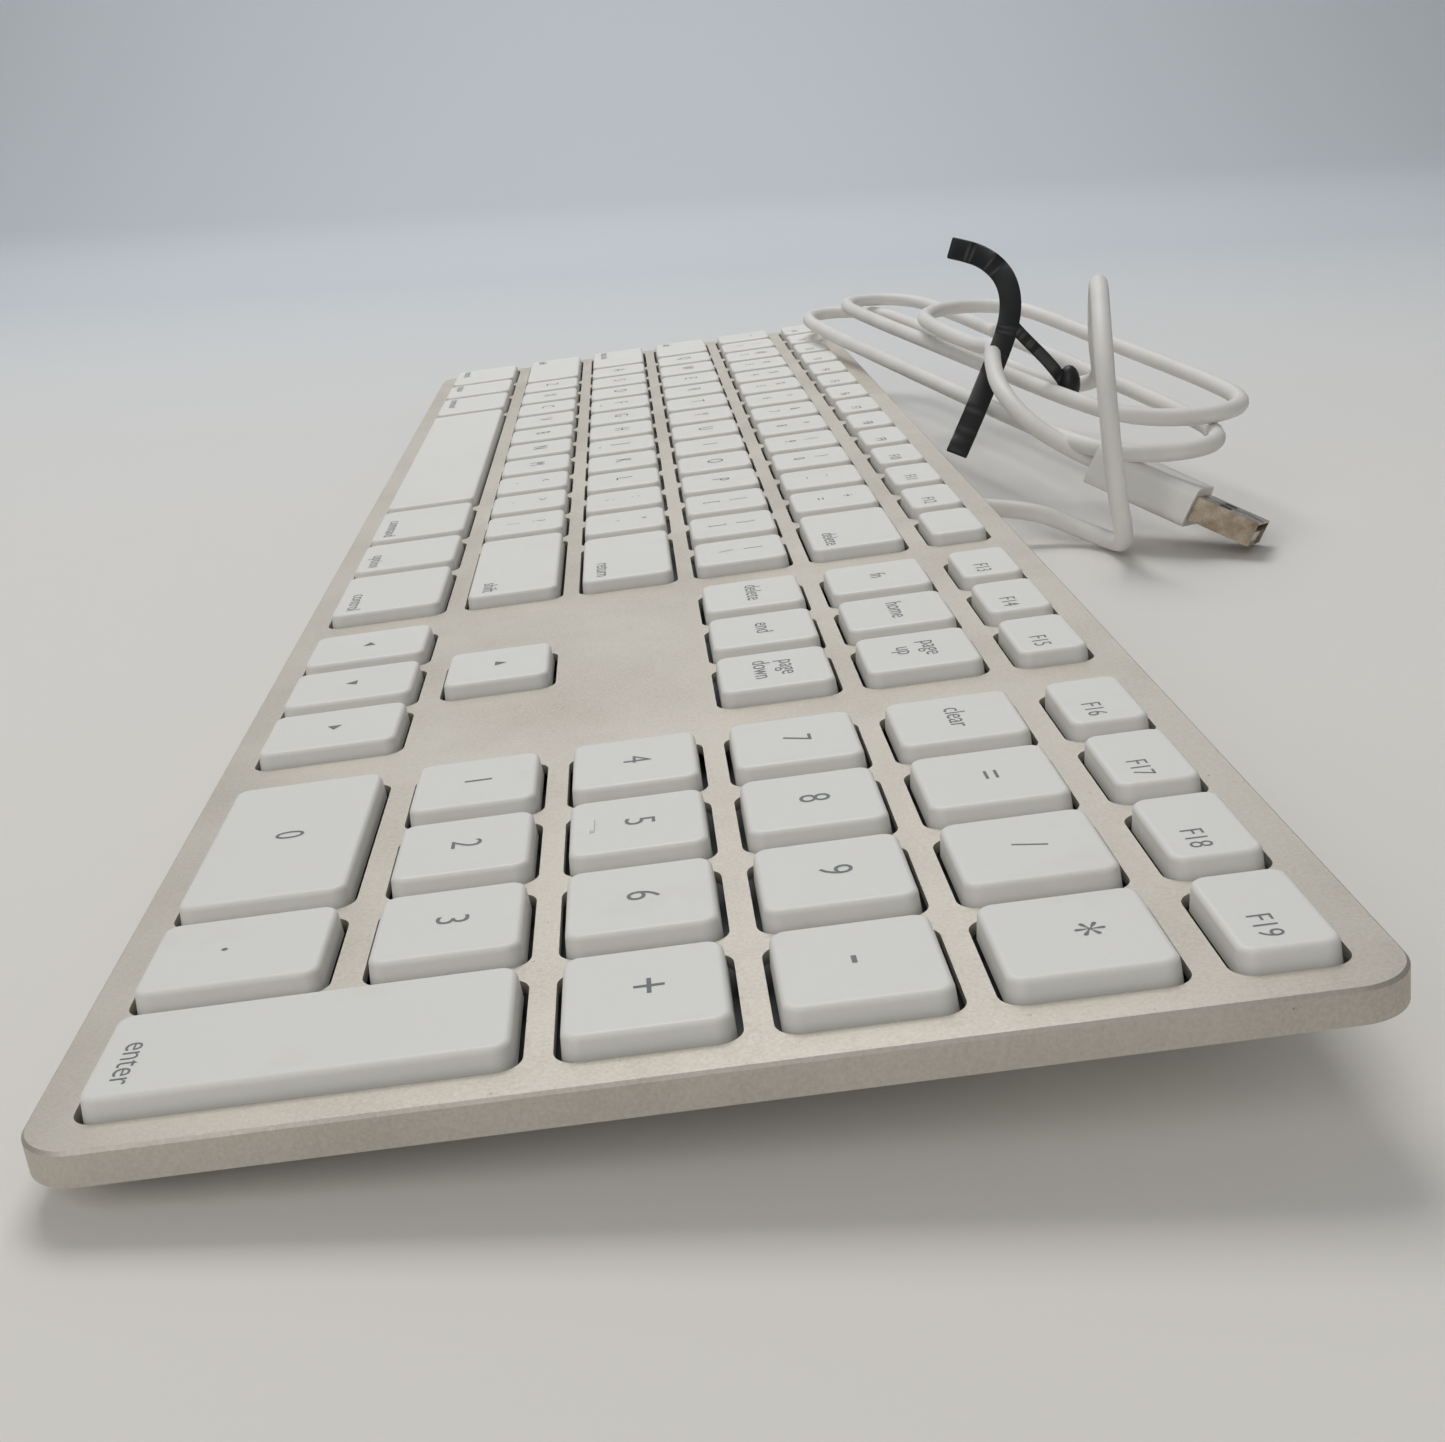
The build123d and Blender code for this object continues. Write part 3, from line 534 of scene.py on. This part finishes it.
class KEYBOARD_OT_stage(bpy.types.Operator):
    """Pale table that curves up into a backdrop, and soft studio light"""

    bl_idname = "keyboard.stage"
    bl_label = "Stage and lights"

    def execute(self, context):
        self.backdrop()
        world = bpy.data.worlds.new("studio")
        world.use_nodes = True
        background = world.node_tree.nodes["Background"]
        background.inputs["Color"].default_value = linear("#ECEFF2")
        background.inputs["Strength"].default_value = WORLD_STRENGTH
        context.scene.world = world
        context.scene.view_settings.view_transform = "Standard"
        for name, place, target, size, power in LIGHTS:
            light = bpy.data.lights.new(name, "AREA")
            light.size = size
            light.energy = power
            lamp = bpy.data.objects.new(name, light)
            context.scene.collection.objects.link(lamp)
            turned = (Vector(target) - Vector(place)).to_track_quat("-Z", "Y").to_matrix().to_4x4()
            lamp.matrix_world = Matrix.Translation(place) @ turned
        return {"FINISHED"}

    def backdrop(self):
        """Table whose far edge is spun up into a wall."""
        bm = bmesh.new()
        bmesh.ops.create_grid(bm, x_segments=1, y_segments=1, size=1.0)
        bmesh.ops.scale(bm, vec=(*TABLE_HALF_SIZE, 1), verts=bm.verts)
        bmesh.ops.translate(bm, vec=(TABLE_CENTRE, 0, 0), verts=bm.verts)
        far_x = TABLE_CENTRE - TABLE_HALF_SIZE[0]
        far = [e for e in bm.edges if all(v.co.x < far_x / 2 for v in e.verts)]
        bmesh.ops.spin(
            bm, geom=far, cent=(far_x, 0, WALL_CURVE), axis=(0, 1, 0), angle=math.radians(90),
            steps=WALL_STEPS,
        )
        top = [e for e in bm.edges if all(v.co.z > WALL_CURVE - MM for v in e.verts)]
        raised = bmesh.ops.extrude_edge_only(bm, edges=top)["geom"]
        raised_verts = [v for v in raised if isinstance(v, bmesh.types.BMVert)]
        bmesh.ops.translate(bm, vec=(0, 0, WALL_HEIGHT), verts=raised_verts)
        backdrop = mesh_object("backdrop", bm)
        backdrop.location.z = -TABLE_DROP
        backdrop.data.materials.append(matte_card())


class KEYBOARD_OT_finishes(bpy.types.Operator):
    """Give every CAD piece the finish of the real material"""

    bl_idname = "keyboard.finishes"
    bl_label = "Finishes of the CAD pieces"

    def execute(self, context):
        finish = context.scene.keyboard_finish
        keys = [n for n in frame["nodes"] if n.startswith(("key_", "keys_"))]
        keys.remove("key_support_plate")
        film = ["membrane_upper_sheet", "membrane_spacer", "membrane_lower_sheet"]
        links = ["scissor_outer_links", "scissor_inner_links"]
        dress(keys, moulded_key_plastic(finish))
        dress(["top_plate"], blasted_aluminium(finish))
        for names, name, colour, roughness in (
            (["bottom_shell"], "glossy_shell_plastic", finish.shell_colour, 0.32),
            (["rubber_feet"], "foot_rubber", linear("#D4D3CE"), 0.7),
            (film, "printed_film", linear("#4B4F50"), 0.3),
            (["rubber_domes"], "moulded_silicone", linear("#9C9D9B"), 0.55),
            (links, "link_nylon", linear("#A9AAA6"), 0.4),
            (["controller_board"], "solder_mask", linear("#1F5A36"), 0.3),
            (["plug_body"], "overmoulded_plug", finish.cable_colour, 0.42),
            (["plug_insert"], "plug_insulator", linear("#E8E6DF"), 0.4),
        ):
            dress(names, plain_plastic(name, colour, roughness))
        for names, name, colour, tarnish, roughness in (
            (["key_support_plate", "board_screws"], "rolled_steel", "#8E8E8C", "#75716B", 0.38),
            (["usb_sockets"], "socket_nickel", "#B9B6B0", "#98938B", 0.25),
            (["plug_shell"], "worn_plug_nickel", "#B8AB98", "#7D6C58", 0.22),
        ):
            dress(names, plated_metal(name, colour, tarnish, roughness))
        # Soft thermoplastic jacket: matte, and light goes a little way into it.
        jacket = plain_plastic("soft_cable_jacket", finish.cable_colour, 0.5, 0.555556,
                               **{"Subsurface Weight": 0.08, "Subsurface Scale": 1 * MM})
        dress(["cable_grommet"], jacket)
        return {"FINISHED"}


class KEYBOARD_OT_legends(bpy.types.Operator):
    """Print the characters on the key caps"""

    bl_idname = "keyboard.legends"
    bl_label = "Legends"

    def execute(self, context):
        ink = plain_plastic("legend_ink", context.scene.keyboard_finish.legend_colour, 0.55)
        for name, (units, entries) in ROW_LEGENDS.items():
            low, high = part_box(name)
            pitch = (high[0] - low[0] + CAP_GAP) / sum(units)
            y = flat_middle(name)[1]
            depth = (high[1] - low[1]) / math.cos(TILT) - CAP_RISE * math.sin(TILT)
            meshes, x = [], low[0]
            for unit, entry in zip(units, entries):
                width = unit * pitch - CAP_GAP
                if entry:
                    meshes += legend(entry, x + width / 2, y, width, depth)
                x += unit * pitch
            self.print_on(name, meshes, ink)
        self.function_row(ink)
        for name, entry in KEY_LEGENDS.items():
            low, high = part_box(name)
            x, y = flat_middle(name)
            depth = (high[1] - low[1]) / math.cos(TILT)
            self.print_on(name, legend(entry, x, y, high[0] - low[0], depth), ink)
        for name, turn in ARROW_TURNS.items():
            self.print_on(name, [triangle_glyph(*flat_middle(name), turn)], ink)
        return {"FINISHED"}

    def print_on(self, name, meshes, ink):
        finish_piece(join_meshes("legend_" + name, meshes), name, ink)

    def function_row(self, ink):
        """F keys: fourteen over the main block, then three over the cursor block."""
        name = "keys_function_row"
        low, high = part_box(name)
        y = flat_middle(name)[1]
        depth = (high[1] - low[1]) / math.cos(TILT)
        main_low, main_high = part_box("keys_number_row")
        pitch = (main_high[0] - main_low[0] + CAP_GAP) / MAIN_FUNCTION_KEYS
        cursor_keys = ("key_function", "key_home", "key_page_up")
        starts = [main_low[0] + pitch * n for n in range(MAIN_FUNCTION_KEYS)]
        starts += [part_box(key)[0][0] for key in cursor_keys]
        widths = [pitch - CAP_GAP] * MAIN_FUNCTION_KEYS + [CAP_WIDTH] * len(cursor_keys)
        meshes = []
        for text, x, width in zip(FUNCTION_KEYS, starts, widths):
            if text:
                meshes += legend((text, "small_corner"), x + width / 2, y, width, depth)
        self.print_on(name, meshes, ink)


def bundle_point(step):
    """Point of the bundle: a loop with two long sides and round ends that changes turn by turn."""
    half_turn = SIDE_STEPS + END_STEPS
    turn = min(max(step / (2 * half_turn) - 0.5, 0.0), len(TURNS) - 1.001)
    number = int(turn)
    share = turn - number
    cx, cy, half, radius, heading, far_height, near_height = (
        low + (high - low) * share for low, high in zip(TURNS[number], TURNS[number + 1])
    )
    straight = half - radius
    along = step % half_turn
    if along < SIDE_STEPS:
        u, v = straight * (1 - 2 * along / SIDE_STEPS), radius
    else:
        angle = math.pi * (0.5 + (along - SIDE_STEPS) / END_STEPS)
        u, v = radius * math.cos(angle) - straight, radius * math.sin(angle)
    if step % (2 * half_turn) >= half_turn:
        u, v = -u, -v
    height = near_height + (far_height - near_height) * (half - u) / (2 * half)
    sideways = Matrix.Rotation(math.radians(heading), 3, "Z") @ Vector((u, v, 0))
    return tuple(Vector((cx, cy, height)) + sideways)


class KEYBOARD_OT_cable(bpy.types.Operator):
    """Cable from the grommet, round its loose tied bundle, to the plug"""

    bl_idname = "keyboard.cable"
    bl_label = "Cable"

    def execute(self, context):
        diameter = context.scene.keyboard_sizes.cable_diameter
        heading, dip = math.radians(PLUG_HEADING), math.radians(PLUG_DIP)
        axis = Vector((math.cos(heading) * math.cos(dip), math.sin(heading) * math.cos(dip),
                       -math.sin(dip)))
        steps = [FIRST_STEP + n for n in range(int(LAST_STEP - FIRST_STEP) + 1)]
        route = LEAD_POINTS + [bundle_point(step) for step in steps] + TAIL_POINTS
        route += [tuple(PLUG_BACK - axis * PLUG_ENTRY_RUN), tuple(PLUG_BACK + axis * PLUG_OVERLAP)]
        cable = nurbs("cable", route, CABLE_RESOLUTION)
        cable.data.bevel_depth = diameter / 2
        cable.data.bevel_resolution = CABLE_ROUNDNESS
        cable.data.use_fill_caps = True
        finish_piece(cable, CHASSIS, bpy.data.materials["soft_cable_jacket"])
        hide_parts("cable_lead", "cable_bundle", "cable_tail")
        return {"FINISHED"}


def ribbon(bm, points, width, thickness):
    """Flat strip: its end face is extruded and turned from point to point of a smooth path."""
    mesh = mesh_of(nurbs("path", points, TIE_RESOLUTION))
    path = [vertex.co.copy() for vertex in mesh.vertices]
    bpy.data.meshes.remove(mesh)
    sections = []
    for index, place in enumerate(path):
        along = (path[min(index + 1, len(path) - 1)] - path[max(index - 1, 0)]).normalized()
        normal = (TIE_FACING - along * TIE_FACING.dot(along)).normalized()
        turned = Matrix((along.cross(normal), normal, along)).transposed().to_4x4()
        sections.append(Matrix.Translation(place) @ turned)
    size = Matrix.Diagonal((width, thickness, 1, 1))
    end = bmesh.ops.create_grid(
        bm, x_segments=1, y_segments=1, size=0.5, matrix=sections[0] @ size
    )["verts"]
    for before, here in zip(sections, sections[1:]):
        face = [f for f in bm.faces if all(v in end for v in f.verts)]
        grown = bmesh.ops.extrude_face_region(bm, geom=face)["geom"]
        end = [v for v in grown if isinstance(v, bmesh.types.BMVert)]
        bmesh.ops.transform(bm, matrix=here @ before.inverted(), verts=end)


class KEYBOARD_OT_tie(bpy.types.Operator):
    """Black plastic-covered wire tie round the bundle"""

    bl_idname = "keyboard.tie"
    bl_label = "Twist tie"

    def execute(self, context):
        width, thickness = (size * MM for size in TIE_SIZE)
        bm = bmesh.new()
        ribbon(bm, TIE_POINTS, width, thickness)
        ribbon(bm, TIE_ARM_POINTS, width * TIE_ARM_SHARE[0], thickness * TIE_ARM_SHARE[1])
        knot = Matrix.Translation(Vector(TIE_KNOT) * MM) @ Matrix.Diagonal((*TIE_KNOT_SHAPE, 1))
        bmesh.ops.create_uvsphere(
            bm, u_segments=16, v_segments=10, radius=TIE_KNOT_RADIUS * MM, matrix=knot
        )
        tie = mesh_object("twist_tie_strip", bm)
        bevel = tie.modifiers.new("edge", "BEVEL")
        bevel.width = TIE_EDGE * MM
        bevel.segments = 2
        skin = plain_plastic("tie_skin", context.scene.keyboard_finish.tie_colour, 0.45, 1.11111)
        finish_piece(tie, CHASSIS, skin)
        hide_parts("twist_tie")
        return {"FINISHED"}


class KEYBOARD_OT_plug_windows(bpy.types.Operator):
    """Two square windows and the seam on the plug's metal shell"""

    bl_idname = "keyboard.plug_windows"
    bl_label = "Plug windows"

    def execute(self, context):
        at_plug = (Matrix.Translation(PLUG_BACK * MM)
                   @ Matrix.Rotation(math.radians(PLUG_HEADING), 4, "Z")
                   @ Matrix.Rotation(math.radians(PLUG_DIP), 4, "Y")
                   @ Matrix.Rotation(math.radians(PLUG_ROLL), 4, "X"))
        ahead, aside = WINDOW_PLACE
        bm = bmesh.new()
        for along, across, size in (
            (ahead, -aside, WINDOW_SIZE), (ahead, aside, WINDOW_SIZE), (SEAM_PLACE, 0, SEAM_SIZE),
        ):
            place = Vector((PLUG_BODY_LENGTH + along, across, PLUG_SHELL_HALF_HEIGHT)) * MM
            patch = Matrix.Translation(place) @ Matrix.Diagonal((*(Vector(size) * MM), 1))
            bmesh.ops.create_cube(bm, size=1.0, matrix=at_plug @ patch)
        windows = mesh_object("plug_windows", bm, smooth=False)
        shade = plated_metal("window_shade", "#3A332B", "#241F1A", 0.5)
        finish_piece(windows, CHASSIS, shade)
        return {"FINISHED"}


class KEYBOARD_PT_panel(bpy.types.Panel):
    """Lists the keyboard's pieces and finishes"""

    bl_idname = "KEYBOARD_PT_panel"
    bl_label = "Keyboard"
    bl_space_type = "VIEW_3D"
    bl_region_type = "UI"
    bl_category = "Keyboard"

    def draw(self, context):
        for operator in OPERATORS:
            self.layout.operator(operator.bl_idname)
        for group in (context.scene.keyboard_finish, context.scene.keyboard_sizes):
            for name in group.__annotations__:
                self.layout.prop(group, name)


OPERATORS = (
    KEYBOARD_OT_camera,
    KEYBOARD_OT_stage,
    KEYBOARD_OT_finishes,
    KEYBOARD_OT_legends,
    KEYBOARD_OT_tie,
    KEYBOARD_OT_plug_windows,
    KEYBOARD_OT_cable,
)
CLASSES = (KeyboardFinish, KeyboardSizes, *OPERATORS, KEYBOARD_PT_panel)


def register():
    for cls in CLASSES:
        bpy.utils.register_class(cls)
    bpy.types.Scene.keyboard_finish = bpy.props.PointerProperty(type=KeyboardFinish)
    bpy.types.Scene.keyboard_sizes = bpy.props.PointerProperty(type=KeyboardSizes)


def unregister():
    del bpy.types.Scene.keyboard_finish
    del bpy.types.Scene.keyboard_sizes
    for cls in reversed(CLASSES):
        bpy.utils.unregister_class(cls)


def main():
    register()
    for operator in OPERATORS:
        module, name = operator.bl_idname.split(".")
        getattr(getattr(bpy.ops, module), name)()


if __name__ == "__main__":
    main()
